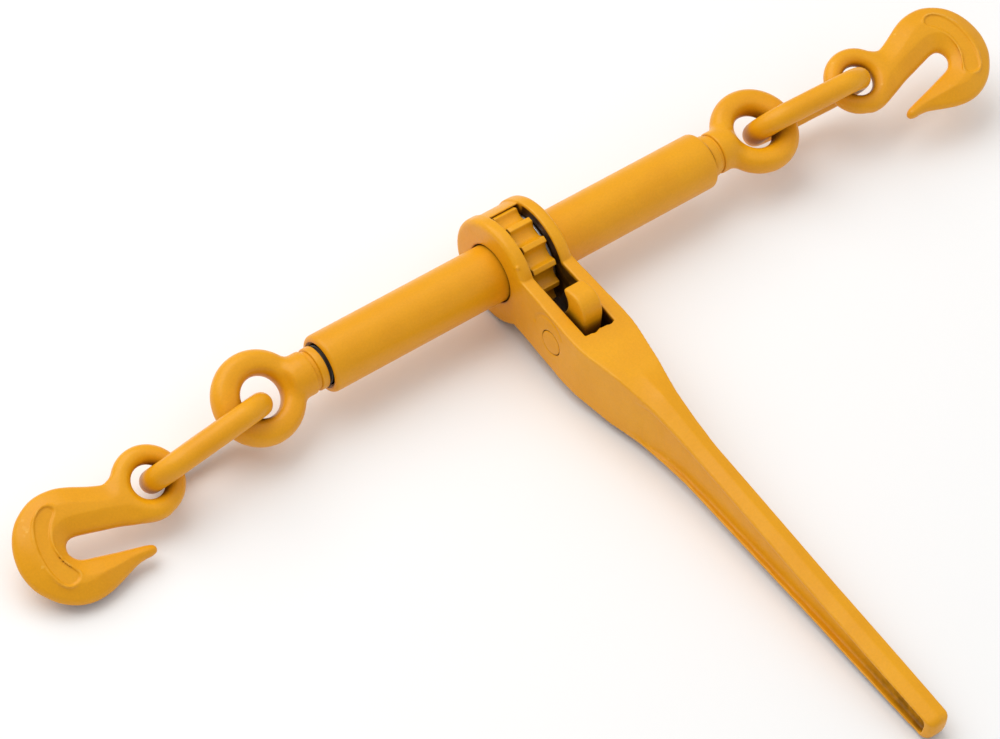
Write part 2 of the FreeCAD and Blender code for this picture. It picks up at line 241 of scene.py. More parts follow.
def round_profile(pts, rads, seg=6):
    """Polygon with the given corner radii, as a list of points."""
    p = np.asarray(pts, float)
    n = len(p)
    out = []
    for i in range(n):
        r = rads[i]
        a, b, c = p[i - 1], p[i], p[(i + 1) % n]
        if r <= 0:
            out.append(b)
            continue
        u = (a - b) / np.linalg.norm(a - b)
        v = (c - b) / np.linalg.norm(c - b)
        ang = math.acos(np.clip(u @ v, -1, 1))
        t = r / math.tan(ang / 2)
        ctr = b + (u + v) / np.linalg.norm(u + v) * r / math.sin(ang / 2)
        s, e = b + u * t - ctr, b + v * t - ctr
        w = math.acos(np.clip(s @ e / (r * r), -1, 1))
        for q in np.linspace(0, 1, seg + 1):
            out.append(ctr + (s * math.sin((1 - q) * w) + e * math.sin(q * w)) / math.sin(w))
    return np.array(out)


def tube_along(name, path, r, seg=20, closed=True, m=I3, o=(0, 0, 0), radius_fn=None):
    """Round wire along a path of points."""
    p = np.asarray(path, float)
    n = len(p)
    if closed:
        tan = np.roll(p, -1, 0) - np.roll(p, 1, 0)
    else:
        tan = np.gradient(p, axis=0)
    tan /= np.linalg.norm(tan, axis=1)[:, None]
    ref = np.array([0, 0, 1.0]) if abs(tan[0][2]) < 0.9 else np.array([1.0, 0, 0])
    verts = []
    a = np.cross(tan[0], ref)
    a /= np.linalg.norm(a)
    th = np.arange(seg) * 2 * math.pi / seg
    for i in range(n):
        a = a - tan[i] * (a @ tan[i])
        a /= np.linalg.norm(a)
        b = np.cross(tan[i], a)
        rr = r if radius_fn is None else radius_fn(i / n, th)
        verts.append(p[i] + (np.cos(th) * rr)[:, None] * a + (np.sin(th) * rr)[:, None] * b)
    verts = np.concatenate(verts)
    faces = []
    for i in range(n if closed else n - 1):
        j = (i + 1) % n
        for k in range(seg):
            l = (k + 1) % seg
            faces.append((i * seg + k, j * seg + k, j * seg + l, i * seg + l))
    if not closed:
        faces.append(tuple(range(seg - 1, -1, -1)))
        faces.append(tuple((n - 1) * seg + k for k in range(seg)))
    ob = new_mesh(name, to_row(verts, m, o), faces, 50.0)
    fix_normals(ob)
    return ob


# ------------------------------------------------------------------ materials
def painted(name, tint=0.0, peel=1.0, cast=0.0, shade_mask_fn=None):
    m = bpy.data.materials.new(name)
    m.use_nodes = True
    nt = m.node_tree
    n, l = nt.nodes, nt.links
    n.clear()
    out = n.new("ShaderNodeOutputMaterial")
    bs = n.new("ShaderNodeBsdfPrincipled")
    l.new(bs.outputs[0], out.inputs["Surface"])
    tc = n.new("ShaderNodeTexCoord")
    # broad drift of the enamel's colour
    n1 = n.new("ShaderNodeTexNoise")
    n1.inputs["Scale"].default_value = 22.0
    n1.inputs["Detail"].default_value = 4.0
    n1.inputs["Roughness"].default_value = 0.6
    l.new(tc.outputs["Object"], n1.inputs["Vector"])
    r1 = n.new("ShaderNodeValToRGB")
    r1.color_ramp.elements[0].position = 0.30
    r1.color_ramp.elements[0].color = (0.765 - tint, 0.318 - tint * 0.5, 0.0030, 1)
    r1.color_ramp.elements[1].position = 0.72
    r1.color_ramp.elements[1].color = (0.83 - tint, 0.372 - tint * 0.5, 0.0050, 1)
    l.new(n1.outputs["Fac"], r1.inputs["Fac"])
    # fine speckle of the spray coat
    n2 = n.new("ShaderNodeTexNoise")
    n2.inputs["Scale"].default_value = 900.0
    n2.inputs["Detail"].default_value = 3.0
    l.new(tc.outputs["Object"], n2.inputs["Vector"])
    mr = n.new("ShaderNodeMapRange")
    mr.inputs["From Min"].default_value = 0.35
    mr.inputs["From Max"].default_value = 0.65
    mr.inputs["To Min"].default_value = 0.975
    mr.inputs["To Max"].default_value = 1.025
    l.new(n2.outputs["Fac"], mr.inputs["Value"])
    mul = n.new("ShaderNodeVectorMath")
    mul.operation = "SCALE"
    l.new(r1.outputs["Color"], mul.inputs[0])
    l.new(mr.outputs["Result"], mul.inputs["Scale"])
    # painted shade: the colour darkens towards a dark brown where ambient occlusion finds crevices
    ao = n.new("ShaderNodeAmbientOcclusion")
    ao.samples = 8
    ao.inputs["Distance"].default_value = 0.013
    painted_shade_fac = n.new("ShaderNodeMapRange")
    painted_shade_fac.inputs["From Min"].default_value = 0.08
    painted_shade_fac.inputs["From Max"].default_value = 0.62
    painted_shade_fac.inputs["To Min"].default_value = 1.0
    painted_shade_fac.inputs["To Max"].default_value = 0.0
    l.new(ao.outputs["AO"], painted_shade_fac.inputs["Value"])
    mx = n.new("ShaderNodeMix")
    mx.data_type = "RGBA"
    l.new(painted_shade_fac.outputs["Result"], mx.inputs["Factor"])
    l.new(mul.outputs["Vector"], mx.inputs["A"])
    mx.inputs["B"].default_value = (0.17, 0.052, 0.004, 1)
    # lighter colour on sharp edges: partly wear of the coat, partly a painted highlight on the rims
    ge = n.new("ShaderNodeNewGeometry")
    edge_wear_and_highlight_fac = n.new("ShaderNodeMapRange")
    edge_wear_and_highlight_fac.inputs["From Min"].default_value = 0.515
    edge_wear_and_highlight_fac.inputs["From Max"].default_value = 0.565
    l.new(ge.outputs["Pointiness"], edge_wear_and_highlight_fac.inputs["Value"])
    n3 = n.new("ShaderNodeTexNoise")
    n3.inputs["Scale"].default_value = 160.0
    n3.inputs["Detail"].default_value = 5.0
    l.new(tc.outputs["Object"], n3.inputs["Vector"])
    r3 = n.new("ShaderNodeMapRange")
    r3.inputs["From Min"].default_value = 0.42
    r3.inputs["From Max"].default_value = 0.62
    l.new(n3.outputs["Fac"], r3.inputs["Value"])
    mm = n.new("ShaderNodeMath")
    mm.operation = "MULTIPLY"
    l.new(edge_wear_and_highlight_fac.outputs["Result"], mm.inputs[0])
    l.new(r3.outputs["Result"], mm.inputs[1])
    mm2 = n.new("ShaderNodeMath")
    mm2.operation = "MULTIPLY"
    mm2.inputs[1].default_value = 0.42
    l.new(mm.outputs[0], mm2.inputs[0])
    mx2 = n.new("ShaderNodeMix")
    mx2.data_type = "RGBA"
    l.new(mm2.outputs[0], mx2.inputs["Factor"])
    l.new(mx.outputs["Result"], mx2.inputs["A"])
    mx2.inputs["B"].default_value = (0.93, 0.54, 0.10, 1)
    if shade_mask_fn is None:
        l.new(mx2.outputs["Result"], bs.inputs["Base Color"])
    else:
        # painted shade: the mask mixes the colour towards near-black
        mx3 = n.new("ShaderNodeMix")
        mx3.data_type = "RGBA"
        l.new(shade_mask_fn(n, l, tc), mx3.inputs["Factor"])
        l.new(mx2.outputs["Result"], mx3.inputs["A"])
        mx3.inputs["B"].default_value = (0.020, 0.008, 0.002, 1)
        l.new(mx3.outputs["Result"], bs.inputs["Base Color"])
    # gloss varies a little
    rr = n.new("ShaderNodeMapRange")
    rr.inputs["From Min"].default_value = 0.3
    rr.inputs["From Max"].default_value = 0.7
    rr.inputs["To Min"].default_value = 0.30
    rr.inputs["To Max"].default_value = 0.42
    l.new(n3.outputs["Fac"], rr.inputs["Value"])
    l.new(rr.outputs["Result"], bs.inputs["Roughness"])
    bs.inputs["Specular IOR Level"].default_value = 0.27
    bs.inputs["Coat Weight"].default_value = 0.05
    bs.inputs["Coat Roughness"].default_value = 0.25
    # orange peel, and under it the uneven skin of a forging
    b1 = n.new("ShaderNodeBump")
    b1.inputs["Strength"].default_value = 0.10 * peel
    b1.inputs["Distance"].default_value = 0.0002
    l.new(n2.outputs["Fac"], b1.inputs["Height"])
    n4 = n.new("ShaderNodeTexNoise")
    n4.inputs["Scale"].default_value = 190.0
    n4.inputs["Detail"].default_value = 3.0
    l.new(tc.outputs["Object"], n4.inputs["Vector"])
    b2 = n.new("ShaderNodeBump")
    b2.inputs["Strength"].default_value = 0.10 + 0.35 * cast
    b2.inputs["Distance"].default_value = 0.0006
    l.new(n4.outputs["Fac"], b2.inputs["Height"])
    l.new(b1.outputs["Normal"], b2.inputs["Normal"])
    l.new(b2.outputs["Normal"], bs.inputs["Normal"])
    return m


def bare(name, base, rough, rings=True):
    m = bpy.data.materials.new(name)
    m.use_nodes = True
    nt = m.node_tree
    n, l = nt.nodes, nt.links
    bs = n["Principled BSDF"]
    bs.inputs["Metallic"].default_value = 1.0
    tc = n.new("ShaderNodeTexCoord")
    mp = n.new("ShaderNodeMapping")
    mp.inputs["Scale"].default_value = (1.0, 0.08, 0.08) if rings else (1.0, 1.0, 1.0)
    l.new(tc.outputs["Object"], mp.inputs["Vector"])
    t = n.new("ShaderNodeTexNoise")
    t.inputs["Scale"].default_value = 2400.0 if rings else 500.0
    t.inputs["Detail"].default_value = 4.0
    l.new(mp.outputs["Vector"], t.inputs["Vector"])
    r = n.new("ShaderNodeValToRGB")
    r.color_ramp.elements[0].color = tuple(c * 0.72 for c in base) + (1,)
    r.color_ramp.elements[1].color = tuple(min(1, c * 1.12) for c in base) + (1,)
    l.new(t.outputs["Fac"], r.inputs["Fac"])
    # oil and dirt in blotches
    t2 = n.new("ShaderNodeTexNoise")
    t2.inputs["Scale"].default_value = 70.0
    t2.inputs["Detail"].default_value = 6.0
    l.new(tc.outputs["Object"], t2.inputs["Vector"])
    f = n.new("ShaderNodeMapRange")
    f.inputs["From Min"].default_value = 0.50
    f.inputs["From Max"].default_value = 0.70
    f.inputs["To Max"].default_value = 0.6
    l.new(t2.outputs["Fac"], f.inputs["Value"])
    mx = n.new("ShaderNodeMix")
    mx.data_type = "RGBA"
    l.new(f.outputs["Result"], mx.inputs["Factor"])
    l.new(r.outputs["Color"], mx.inputs["A"])
    mx.inputs["B"].default_value = (0.09, 0.07, 0.05, 1)
    l.new(mx.outputs["Result"], bs.inputs["Base Color"])
    q = n.new("ShaderNodeMapRange")
    q.inputs["To Min"].default_value = rough - 0.07
    q.inputs["To Max"].default_value = rough + 0.12
    l.new(t2.outputs["Fac"], q.inputs["Value"])
    l.new(q.outputs["Result"], bs.inputs["Roughness"])
    b = n.new("ShaderNodeBump")
    b.inputs["Strength"].default_value = 0.25
    b.inputs["Distance"].default_value = 0.0001
    l.new(t.outputs["Fac"], b.inputs["Height"])
    l.new(b.outputs["Normal"], bs.inputs["Normal"])
    return m


def local_mm(n, l, tc):
    """Separate XYZ of the working frame's millimetres, from object coordinates."""
    mp = n.new("ShaderNodeMapping")
    mp.vector_type = "TEXTURE"
    mp.inputs["Location"].default_value = tuple(SHIFT * 0.001)
    mp.inputs["Rotation"].default_value = (TILT, 0.0, 0.0)
    mp.inputs["Scale"].default_value = (0.001, 0.001, 0.001)
    l.new(tc.outputs["Object"], mp.inputs["Vector"])
    sx = n.new("ShaderNodeSeparateXYZ")
    l.new(mp.outputs["Vector"], sx.inputs["Vector"])
    return sx


def step(n, l, sock, a, b):
    """0 at a, 1 at b."""
    m = n.new("ShaderNodeMapRange")
    m.inputs["From Min"].default_value = a
    m.inputs["From Max"].default_value = b
    l.new(sock, m.inputs["Value"])
    return m.outputs["Result"]


def op(n, l, kind, a, b=None):
    m = n.new("ShaderNodeMath")
    m.operation = kind
    l.new(a, m.inputs[0])
    if b is not None:
        l.new(b, m.inputs[1])
    return m.outputs[0]


def painted_shade_yoke(n, l, tc):
    """Mask of painted shade: near-black on the walls of the wheel's pocket and of the slot."""
    sx = local_mm(n, l, tc)
    x, y, z = (sx.outputs[k] for k in ("X", "Y", "Z"))
    walls = step(n, l, op(n, l, "ABSOLUTE", x), 9.95, 9.65)
    rad = op(n, l, "SQRT", op(n, l, "ADD", op(n, l, "MULTIPLY", y, y), op(n, l, "MULTIPLY", z, z)))
    pocket = op(n, l, "MULTIPLY", step(n, l, rad, 29.15, 28.6), step(n, l, y, 13.0, 11.0))
    slot = op(n, l, "MULTIPLY", step(n, l, y, -68.6, -68.2), step(n, l, y, -20.0, -24.0))
    slot = op(n, l, "MULTIPLY", slot, step(n, l, op(n, l, "ABSOLUTE", z), 17.7, 15.2))
    both = op(n, l, "MULTIPLY", op(n, l, "MAXIMUM", pocket, slot), walls)
    t = n.new("ShaderNodeTexNoise")
    t.inputs["Scale"].default_value = 240.0
    t.inputs["Detail"].default_value = 4.0
    l.new(tc.outputs["Object"], t.inputs["Vector"])
    patch = n.new("ShaderNodeMapRange")
    patch.inputs["From Min"].default_value = 0.3
    patch.inputs["From Max"].default_value = 0.5
    patch.inputs["To Min"].default_value = 0.82
    patch.inputs["To Max"].default_value = 0.96
    l.new(t.outputs["Fac"], patch.inputs["Value"])
    # painted shade also in the hollow of the grip's sides, near its end
    hollow = op(n, l, "MULTIPLY", step(n, l, op(n, l, "ABSOLUTE", x), 5.6, 4.2), step(n, l, y, -270.0, -314.0))
    hollow = op(n, l, "MULTIPLY", hollow, step(n, l, y, -337.0, -335.0))
    hollow = op(n, l, "MULTIPLY", hollow, step(n, l, op(n, l, "ABSOLUTE", z), 7.0, 5.8))
    shade_mask = op(n, l, "MAXIMUM", both, op(n, l, "MULTIPLY", hollow, t.outputs["Fac"]))
    return op(n, l, "MULTIPLY", shade_mask, patch.outputs["Result"])


def painted_shade_pawl(n, l, tc):
    # painted shade: dark on the pawl's lower part and on its part towards the wheel, deep in the slot
    sx = local_mm(n, l, tc)
    y, z = sx.outputs["Y"], sx.outputs["Z"]
    low = step(n, l, z, 15.0, 5.0)
    front = op(n, l, "MULTIPLY", step(n, l, y, -49.5, -47.5), step(n, l, z, 26.0, 22.0))
    both = op(n, l, "MAXIMUM", low, front)
    t = n.new("ShaderNodeTexNoise")
    t.inputs["Scale"].default_value = 260.0
    l.new(tc.outputs["Object"], t.inputs["Vector"])
    patch = n.new("ShaderNodeMapRange")
    patch.inputs["From Min"].default_value = 0.3
    patch.inputs["From Max"].default_value = 0.6
    patch.inputs["To Min"].default_value = 0.6
    patch.inputs["To Max"].default_value = 0.88
    l.new(t.outputs["Fac"], patch.inputs["Value"])
    return op(n, l, "MULTIPLY", both, patch.outputs["Result"])


PAINT = painted("paint_forged", cast=0.55)
PAINT_YOKE = painted("paint_handle", cast=0.55, shade_mask_fn=painted_shade_yoke)
PAINT_PAWL = painted("paint_pawl", cast=0.35, shade_mask_fn=painted_shade_pawl)
PAINT_SMOOTH = painted("paint_turned", peel=0.8, cast=0.0)
PAINT_GEAR = painted("paint_wheel", tint=0.0, cast=0.35)
STEEL = bare("steel_turned", (0.52, 0.52, 0.53), 0.34)
THREAD = bare("steel_thread_oiled", (0.10, 0.095, 0.085), 0.42)
SPRING = bare("steel_spring", (0.30, 0.29, 0.28), 0.40, rings=False)

# ------------------------------------------------------------------ handle with yoke
HANDLE_W = [(40, 16.8), (0, 16.8), (-30, 16.9), (-50, 17.5), (-66, 18.0), (-76, 17.6), (-88, 15.2), (-104, 12.2),
            (-121, 9.4), (-138, 7.8), (-155, 6.95), (-190, 6.85), (-250, 6.85), (-300, 6.8), (-330, 6.6), (-345, 6.5)]
HANDLE_H = [(40, 18.0), (-18, 18.0), (-50, 18.0), (-73, 18.0), (-88, 18.6), (-104, 18.9), (-121, 18.3), (-138, 16.4),
            (-155, 14.6), (-190, 13.2), (-222, 11.7), (-250, 10.3), (-283, 9.4), (-312, 8.5), (-332, 7.8), (-345, 7.4)]


def handle_field(x, y, z):
    w = table(HANDLE_W, y)
    hh = table(HANDLE_H, y)
    ax, az = np.abs(x), np.abs(z)
    # drafted flanges meet in a ridge on the middle plane beyond the flat of the yoke
    fade = np.clip((-101 - y) / 20.0, 0, 1)
    ridge = hh + np.where(z > 0, 1.25, 0.55) * fade - ax * 0.28 * fade
    side2 = az - ridge
    # drop of the section's width from the middle: none on the yoke, slight on the grip
    wide = ax - w + np.clip(az - 2.0, 0, 30) * 0.030 * fade
    slab = smax(side2, wide, 0.7)
    slab = smax(slab, y - 8.0, 2.0)
    tip = -339.9 - y + (ax / 6.6) ** 2 * 0.55 + (az / 7.6) ** 2 * np.where(z < 0, 1.6, 0.5)
    slab = smax(slab, tip, 4.2)
    cheek = np.hypot(y, z) - YOKE_R_OUT
    cheek = smax(cheek, ax - 16.85, 3.6)
    body = smin(slab, cheek, 0.35)
    # I section: side recesses, deepest towards the tip
    fl = np.interp(y, [-330, -300, -160, -122, -112, -104], [2.0, 2.5, 3.3, 4.4, 6.0, 9.0])
    rec = np.abs(z) - (hh - fl)
    rec = smax(rec, -334.6 - y, 3.6)
    web = np.interp(y, [-335, -300, -250, -175, -150, -132, -120, -110, -100, -92], [2.0, 2.3, 2.8, 3.2, 4.0, 5.8, 8.3, 11.6, 14.2, 18.5])
    cut = smax(rec, web - ax, 1.8)
    body = smax(body, -cut, 0.7)
    # wheel pocket, slot for the pawl
    rad = np.hypot(y, z)
    pocket = smax(rad - 28.12, ax - 9.4, 0.1)
    body = smax(body, -pocket, 0.15)
    wave = 0.42 * np.sin(x * 0.62 + 0.9) + 0.16 * np.sin(x * 1.27 + 2.4)
    wave = wave * np.clip((z - 9.0) / 8.0, 0, 1)
    slot = np.maximum(np.maximum(ax - 9.4, -68.6 + wave - y), y - 15.3)
    slot = slot + 0 * z
    body = smax(body, -slot, 0.6)
    # the bridge behind the wheel stands a little below the cheeks' rims
    chan = np.maximum(29.45 - rad, ax - 9.4)
    chan = np.maximum(chan, 2.0 - y)
    body = smax(body, -chan, 0.5)
    # barrel bore through both cheeks
    body = smax(body, 16.65 - rad, 0.9)
    # seat of the pin's head, pin hole
    pr = np.hypot(y + 53.0, z)
    seat = np.maximum(pr - 7.35, x + 15.5)
    body = smax(body, -seat, 0.4)
    pinhole = np.maximum(pr - 5.15, ax - 30)
    body = smax(body, -pinhole, 0.4)
    # faint stamped arc beside the pin, a pip on the left cheek
    arc = np.hypot(np.abs(np.hypot(y + 50.5, z - 3.0) - 12.2), (x + w) * 1.4) - 0.75
    arc = np.maximum(arc, -(y + 50.5) * 0.35 - (z - 3.0) + 4.0)
    body = smax(body, -arc, 0.8)
    pip = np.sqrt((x + 15.6) ** 2 + (y + 17.8) ** 2 + (z - 23.5) ** 2) - 1.15
    body = smin(body, pip, 0.5)
    # blind bore for the plunger
    pb = np.maximum(np.hypot(x, z) - 3.6, np.maximum(y + 68.0, -96.0 - y))
    body = np.maximum(body, -pb)
    return body


YOKE_R_OUT = 30.45


def make_handle():
    h = 0.6
    parts_v, parts_f = [], []
    lo, hi = (-19.6, -343.0, -32.2), (19.6, 32.6, 32.2)
    x, y, z = grid(lo, hi, h)
    d = np.empty((x.shape[0], y.shape[1], z.shape[2]), np.float32)
    # in slabs along y, to keep the arrays small
    n = y.shape[1]
    for a in range(0, n, 90):
        ys = y[:, a:a + 90, :]
        d[:, a:a + 90, :] = handle_field(x, ys, z)
    v, f = surface_nets(d, lo, h)
    ob = new_mesh("handle_forging", to_row(v), f, 0)
    return give(ob, PAINT_YOKE, "handle", ("handle",))


make_handle()

# pin through the slot, its head nearly flush in the left cheek
prof = round_profile([(-17.55, 0.0), (-17.55, 6.9), (-15.6, 6.9), (-15.6, 4.97), (17.35, 4.97), (17.35, 0.0)],
                     [0, 0.55, 0.0, 0.3, 0.7, 0], 5)
pin = lathe("pawl_pin_headed", prof, origin=(0, -53.0, 0), closed=False)
give(pin, PAINT_SMOOTH, "handle", ("pawl_pin",))

# detent spring: a real coil
tt = np.linspace(0, 1, 420)
turns = 7.0
ang = tt * 2 * math.pi * turns
yy = -79.52 - (tt + 0.055 * np.sin(tt * 2 * math.pi) / (2 * math.pi)) * 15.9
coil = np.stack([2.72 * np.cos(ang), yy, 2.72 * np.sin(ang)], 1)
sp = tube_along("pawl_spring_coil", coil, 0.42, seg=10, closed=False)
give(sp, SPRING, "handle", ("pawl_spring",))
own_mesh(sp)

# plunger
pl = [(0.0, 0.0)]
pr_ = round_profile([(-79.0, 0.0), (-79.0, 3.45), (-69.3, 3.45)], [0, 0.4, 0], 4)
nose = [(-69.3 + 3.45 * math.sin(a), 3.45 * math.cos(a)) for a in np.linspace(0.05, math.pi / 2, 12)]
pprof = np.vstack([pr_, nose])
AX_Y = np.array([[0, 1, 0], [1, 0, 0], [0, 0, -1]], float)      # local X to +Y
ob = lathe("pawl_plunger_pin", pprof, AX_Y, (0, 0, 0), seg=48, closed=False)
give(ob, STEEL, "plunger", ("pawl_plunger",))

# ------------------------------------------------------------------ pawl
PAWL_MID = 19.95
PAWL_HALF = [(10.5, 0), (10.6, 14), (11.2, 26), (12.2, 37), (14.2, 48.0), (17.2, 55.2), (19.8, 57.0), (22.2, 56.2),
             (24.8, 53.4), (27.0, 51.4), (28.6, 51.0), (29.4, 53.2), (29.7, 58.0), (29.95, 66), (29.7, 75),
             (27.9, 84), (24.4, 92), (20.7, 99), (17.7, 106), (15.0, 117), (13.3, 133), (12.5, 147),
             (12.5, 163)]


def make_pawl():
    pts = list(PAWL_HALF) + [(12.5, 180)]
    for r, a in reversed(PAWL_HALF[1:]):
        pts.append((r + (1.05 * (r - 18.0) / 14.0 if r > 18.0 else 0.0), 360 - a))
    vs = [(r * math.cos(math.radians(a + PAWL_MID)), r * math.sin(math.radians(a + PAWL_MID))) for r, a in pts]
    poly = resample(vs, 6)
    h = 0.5
    lo, hi = (-7.5, -30, -36), (7.5, 36, 36)
    x, y, z = grid(lo, hi, h)
    d2 = poly_sdf(y[0], z[0], poly)[None]
    d = smax(d2 + 0.0 * x, np.abs(x) - 6.2, 1.7)
    d = smax(d, 5.1 - np.hypot(y, z), 0.6)
    v, f = surface_nets(d, lo, h)
    ob = new_mesh("pawl_two_way", to_row(v, I3, (0, -53.0, 0)), f, 0)
    return give(ob, PAINT_PAWL, "pawl", ("pawl",))


make_pawl()

# ------------------------------------------------------------------ wheel
TEETH, FIRST = 13, 10.8


def make_gear():
    n = TEETH * 72
    th = np.arange(n) * 2 * math.pi / n
    r = np.full(n, 28.0)
    for k in range(TEETH):
        a = math.radians(FIRST + (k + 0.5) * 360.0 / TEETH)
        d = (th - a + math.pi) % (2 * math.pi) - math.pi
        s = 28.8 * np.sin(d)
        m = (np.abs(s) < 5.2) & (np.cos(d) > 0)
        r[m] = np.minimum(r[m], (28.8 * np.cos(d) - np.sqrt(np.maximum(27.04 - s * s, 0)))[m])
    ker = np.hanning(7)
    ker /= ker.sum()
    r = np.convolve(np.concatenate([r[-3:], r, r[:3]]), ker, mode="valid")
    rings = []
    w = 7.45
    for xx, inset in ((-w, 0.75), (-w + 0.10, 0.40), (-w + 0.32, 0.12), (-w + 0.70, 0.0), (-3.4, 0), (0, -0.0), (3.4, 0),
                      (w - 0.70, 0.0), (w - 0.32, 0.12), (w - 0.10, 0.40), (w, 0.75)):
        rings.append((xx, r - inset))
    inner = [(w, 22.0), (w, 17.2), (w - 0.6, 16.1), (-w + 0.6, 16.1), (-w, 17.2), (-w, 22.0)]
    verts = []
    for xx, rr in rings:
        verts.append(np.stack([np.full(n, xx), -rr * np.cos(th), rr * np.sin(th)], 1))
    for xx, rr in inner:
        verts.append(np.stack([np.full(n, xx), -rr * np.cos(th), rr * np.sin(th)], 1))
    m = len(verts)
    verts = np.concatenate(verts)
    faces = []
    for i in range(m):
        j = (i + 1) % m
        for k in range(n):
            l = (k + 1) % n
            faces.append((i * n + k, j * n + k, j * n + l, i * n + l))
    ob = new_mesh("ratchet_wheel", to_row(verts), faces, 32.0)
    fix_normals(ob)
    return give(ob, PAINT_GEAR, "barrel", ("ratchet_gear",))


make_gear()


def radial_frame(a):
    d = np.array([0, -math.cos(a), math.sin(a)])
    e = np.array([1.0, 0, 0])
    return np.stack([d, e, np.cross(d, e)], 1)


for k, nm in ((5, "a"), (8, "b")):
    a = math.radians(FIRST + (k + 0.5) * 360.0 / TEETH)
    prof = round_profile([(13.2, 0), (13.2, 1.98), (22.8, 1.98), (22.8, 0)], [0, 0.3, 0.5, 0], 4)
    ob = lathe("gear_pin_" + nm, prof, radial_frame(a), (0, 0, 0), seg=32, closed=False)
    give(ob, STEEL, "barrel", ("gear_pins",))

for s, side in ((-1, "left"), (1, "right")):
    a, b = 7.78 * s, 9.07 * s
    prof = round_profile([(a, 16.65), (b, 16.65), (b, 22.95), (a, 22.95)], [0.25] * 4, 3)
    ob = lathe(side + "_washer_ring", prof, seg=96)
    give(ob, STEEL, "carrier", (side + "_thrust_washer",))

# ------------------------------------------------------------------ barrel
H = 126.0
prof = [(-H, 16.0), (H, 16.0), (H, 13.1), (H - 1.5, 11.55), (H - 18, 11.55), (H - 19, 12.8),
        (-H + 19, 12.8), (-H + 18, 11.55), (-H + 1.5, 11.55), (-H, 13.1)]
rad = [2.5, 2.5, 0.2, 0, 0, 0, 0, 0, 0, 0.2]
pp = round_profile(prof, rad, 7)


def split_long(p, step):
    out = []
    for i in range(len(p)):
        a, b = p[i], p[(i + 1) % len(p)]
        out.append(a)
        k = int(np.linalg.norm(b - a) // step)
        for j in range(1, k + 1):
            out.append(a + (b - a) * j / (k + 1))
    return np.array(out)


bar = lathe("barrel_tube", split_long(pp, 6.0), seg=128)
give(bar, PAINT_SMOOTH, "barrel", ("barrel",))

# ------------------------------------------------------------------ eye bolts
RING_TILT = {"left": 27.0, "right": 12.0}


def threaded_rod(side):
    s = -1 if side == "left" else 1
    seg, pitch = 64, 5.0
    xs = [2.0, 2.0, 2.35]
    rs = [0.0, 9.2, 9.9]
    body = np.arange(2.7, 123.5, 0.42)
    end_x = [124.2, 125.4, 125.8, 127.3, 127.45, 127.65, 127.9, 128.2, 131.1, 131.5, 131.75, 131.9, 133.6, 136.5]
    end_r = [10.95, 10.95, 10.5, 10.5, 11.2, 11.6, 11.76, 11.8, 11.8, 11.7, 11.4, 10.7, 10.7, 10.7]
    th = np.arange(seg) * 2 * math.pi / seg
    rows = []
    for x, r in zip(xs, rs):
        rows.append((x, np.full(seg, r)))
    for x in body:
        ph = ((x - s * pitch * th / (2 * math.pi)) / pitch) % 1.0
        tri = np.abs(ph - 0.5) * 2.0                    # 1 at crest's middle, 0 in the groove
        depth = 1.45 * np.clip((0.62 - tri) / 0.34, 0, 1)
        run = min(1.0, max(0.0, (x - 2.7) / 3.0)) * min(1.0, max(0.0, (123.0 - x) / 4.0))
        cap = 11.05 if x > 4.2 else 9.9 + (x - 2.7) * 0.75
        rows.append((x, np.minimum(cap, 11.05 - depth * run)))
    for x, r in zip(end_x, end_r):
        rows.append((x, np.full(seg, r)))
    verts = np.concatenate([np.stack([np.full(seg, s * x), r * np.cos(th), r * np.sin(th)], 1) for x, r in rows])
    n = len(rows)
    faces = []
    for i in range(n - 1):
        for k in range(seg):
            l = (k + 1) % seg
            faces.append((i * seg + k, (i + 1) * seg + k, (i + 1) * seg + l, i * seg + l))
    faces.append(tuple((n - 1) * seg + k for k in range(seg)))
    ob = new_mesh(side + "_screw", to_row(verts), faces, 30.0)
    fix_normals(ob)
    ob.data.materials.append(THREAD)
    ob.data.materials.append(PAINT_SMOOTH)
    # the thread is oiled steel, what stands outside the barrel is painted
    lim = 127.35
    for p in ob.data.polygons:
        cx = abs(p.center.x * 1000 - SHIFT[0])
        p.material_index = 1 if cx > lim else 0
    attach(ob, side + "_eye")
    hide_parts(side + "_eye_bolt")


def eye_head(side):
    s = -1 if side == "left" else 1
    t = math.radians(RING_TILT[side])
    n = np.array([0, -math.sin(t), math.cos(t)])
    h = 0.6
    lo, hi = (131.5, -28, -28), (191.5, 28, 28)
    x, y, z = grid(lo, hi, h)
    X = x
    r = np.hypot(y, z)
    # neck: a short cylinder with a groove, flaring into the ring
    prof = np.interp(X, [132, 133.0, 134.4, 135.6, 139.5, 143.5, 147.5, 151.5],
                     [11.5, 11.6, 11.85, 11.95, 11.9, 11.35, 10.3, 8.9])
    neck = (r - prof) * 0.94
    neck = smax(neck, 134.1 - X, 0.7)
    neck = smax(neck, X - 147.5, 3.0)
    q = (X - 164.0) * 0 + y * n[1] + z * n[2]
    cx = X - 164.0
    rr = np.sqrt(np.maximum(cx ** 2 + y ** 2 + z ** 2 - q ** 2, 0))
    # forged ring: its wire is a little fuller than round along the outside
    inner = 10.85 - 1.35 * cx / np.maximum(rr, 4.0)
    rc, ra = (25.18 + inner) / 2, (25.18 - inner) / 2
    ring = (np.hypot((rr - rc) / ra, q / 7.38) - 1.0) * np.minimum(ra, 7.38)
    flat = np.abs(q) - 7.15
    ring = smax(ring, flat, 1.2)
    body = smin(neck, ring, 3.2)
    keep = inner - 0.3 - rr                              # keep the ring's hole open
    body = smax(body, keep, 1.6)
    v, f = surface_nets(body, lo, h)
    v = v * np.array([s, 1, 1])
    if s < 0:
        f = f[:, ::-1]
    ob = new_mesh(side + "_eye_head", to_row(v), f, 0)
    give(ob, PAINT, side + "_eye", (side + "_eye_bolt",))


